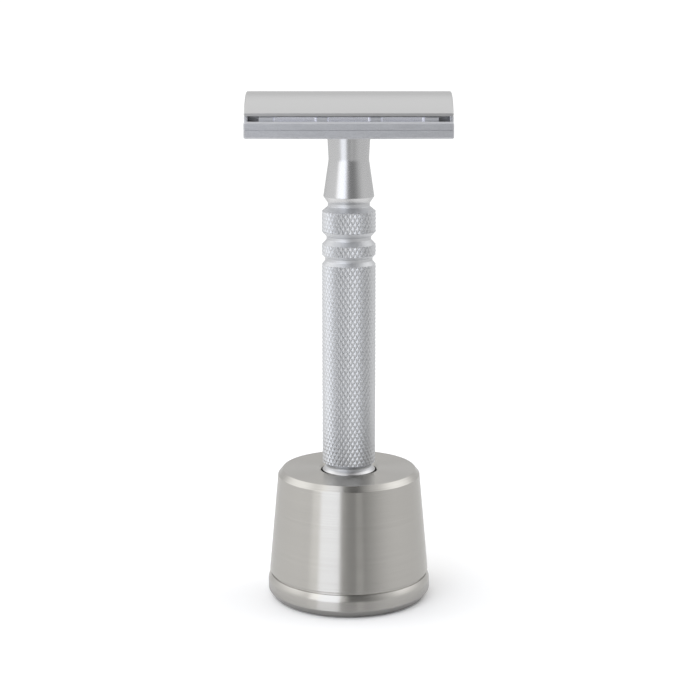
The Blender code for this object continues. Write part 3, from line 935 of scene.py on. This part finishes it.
def make_studio_light():
    """A pale room with a soft box at the front left and a darker gap with one stripe of light beside it.

    It also has a high light on each side, a dark patch high up at the front and a dimmer back.
    """
    world = bpy.data.worlds.new("studio")
    bpy.context.scene.world = world
    world.use_nodes = True
    tree = world.node_tree
    direction = add_node(tree, "ShaderNodeTexCoord").outputs["Generated"]
    split = add_node(tree, "ShaderNodeSeparateXYZ", {0: direction})
    x, y, z = split.outputs
    towards = calculate(tree, "MULTIPLY", y, -1.0)
    azimuth = calculate(tree, "MULTIPLY", calculate(tree, "ARCTAN2", x, towards), 180 / math.pi)
    elevation = calculate(tree, "MULTIPLY", calculate(tree, "ARCSINE", z), 180 / math.pi)

    below = map_range(tree, elevation, *NADIR_FADE, NADIR_LEVEL - ROOM_LEVEL, 0.0)
    above = map_range(tree, elevation, *ROOM_RISE, ROOM_LEVEL, CEILING_LEVEL)
    slant = calculate(tree, "MULTIPLY_ADD", x, ROOM_SLANT, 1.0)
    level = calculate(tree, "MULTIPLY", calculate(tree, "ADD", below, above), slant)
    aside = calculate(tree, "ABSOLUTE", azimuth)
    lean = map_range(tree, elevation, *GAP_LEAN_FROM, *GAP_LEAN, curve="LINEAR")
    leaning = calculate(tree, "SUBTRACT", azimuth, lean)
    gap = map_range(tree, elevation, *GAP_LEVEL_TURN, *GAP_LEVEL)
    # Each patch covers the ones before it, and the soft box comes last because its share sets the tint.
    patches = (
        (aside, BACK_AZIMUTH, BACK_ELEVATION, BACK_LEVEL),
        (aside, SIDE_AZIMUTH, SIDE_ELEVATION, SIDE_LEVEL),
        (leaning, GAP_AZIMUTH, GAP_ELEVATION, gap),
        (azimuth, DARK_AZIMUTH, DARK_ELEVATION, DARK_LEVEL),
        (azimuth, STRIPE_AZIMUTH, STRIPE_ELEVATION, STRIPE_LEVEL),
        (azimuth, BOX_WING_AZIMUTH, BOX_WING_ELEVATION, BOX_LEVEL),
        (azimuth, BOX_AZIMUTH, BOX_ELEVATION, BOX_LEVEL),
    )
    for around, azimuth_window, elevation_window, patch_level in patches:
        level, share = patch(
            tree, level, around, azimuth_window, elevation, elevation_window, patch_level
        )
    tint = mix_colours(tree, share, ROOM_TINT, BOX_TINT)
    studio = add_node(tree, "ShaderNodeBackground", {"Color": tint, "Strength": level})
    white_light = {"Color": (1.0, 1.0, 1.0, 1.0), "Strength": WHITE_LEVEL}
    white = add_node(tree, "ShaderNodeBackground", white_light)
    seen = add_node(tree, "ShaderNodeLightPath").outputs["Is Camera Ray"]
    both = add_node(tree, "ShaderNodeMixShader", {0: seen, 1: studio.outputs[0], 2: white.outputs[0]})
    tree.links.new(both.outputs[0], tree.nodes["World Output"].inputs["Surface"])
    bpy.context.scene.view_settings.view_transform = "Standard"


# The scene.

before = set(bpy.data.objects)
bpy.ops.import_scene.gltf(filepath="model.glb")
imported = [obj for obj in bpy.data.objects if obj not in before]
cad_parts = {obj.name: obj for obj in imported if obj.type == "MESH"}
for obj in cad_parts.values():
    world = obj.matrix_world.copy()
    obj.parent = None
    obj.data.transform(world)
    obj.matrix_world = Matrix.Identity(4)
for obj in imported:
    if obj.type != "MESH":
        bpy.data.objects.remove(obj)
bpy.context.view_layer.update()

stand_steel = turned_steel(
    "turned_steel",
    dark=(0.475, 0.463, 0.438),
    light=(0.495, 0.483, 0.458),
    smooth=0.24,
    rough=0.27,
    anisotropy=0.95,
    relief=0.0002 * MM,
)
handle_steel = knurled_steel(
    "knurled_steel",
    smooth_colour=(0.55, 0.55, 0.555),
    # paler and bluer than the neck: painted light on the knurl's facets
    knurl_painted_light_colour=(0.605, 0.612, 0.625),
    smooth=0.27,
    knurl_roughness=0.5,
    grain=0.12 * MM,
    relief=0.0006 * MM,
)
plate_steel = milled_steel(
    "milled_steel",
    dark=(0.5, 0.507, 0.53),
    light=(0.57, 0.577, 0.6),
    smooth=0.36,
    rough=0.46,
    relief=0.002 * MM,
)
# The troughs' walls, in shade under the blade, get a paler colour that is painted light.
paint_light_on_troughs(plate_steel, trough_painted_light_colour=(0.81, 0.82, 0.89), trough_roughness=0.26)
cap_steel = blasted_steel(
    "satin_steel",
    dark=(0.53, 0.53, 0.53),
    light=(0.54, 0.54, 0.54),
    smooth=0.315,
    rough=0.325,
    grain=0.1 * MM,
    relief=0.0002 * MM,
)
stud_steel = turned_steel(
    "bright_turned_steel",
    dark=(0.6, 0.6, 0.6),
    light=(0.7, 0.7, 0.7),
    smooth=0.18,
    rough=0.25,
    anisotropy=0.5,
    relief=0.001 * MM,
)
blade_steel = milled_steel(
    "ground_steel",
    dark=(0.68, 0.69, 0.72),
    light=(0.76, 0.77, 0.8),
    smooth=0.28,
    rough=0.36,
    relief=0.001 * MM,
)
rubber = moulded_rubber(
    "moulded_rubber",
    dark=(0.018, 0.018, 0.019),
    light=(0.04, 0.04, 0.041),
    smooth=0.65,
    rough=0.85,
    relief=0.01 * MM,
)

plate_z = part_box("base_plate")[0].z
make_stand(stand_steel)
make_foot_pad(rubber)
make_handle(handle_steel)
make_base_plate(plate_steel)
make_blade(blade_steel, plate_z)
make_cap(cap_steel, plate_z)
make_stud(stud_steel)
make_pin("left_pin", "cap_pin_left", stud_steel)
make_pin("right_pin", "cap_pin_right", stud_steel)

make_camera()
make_floor()
make_studio_light()
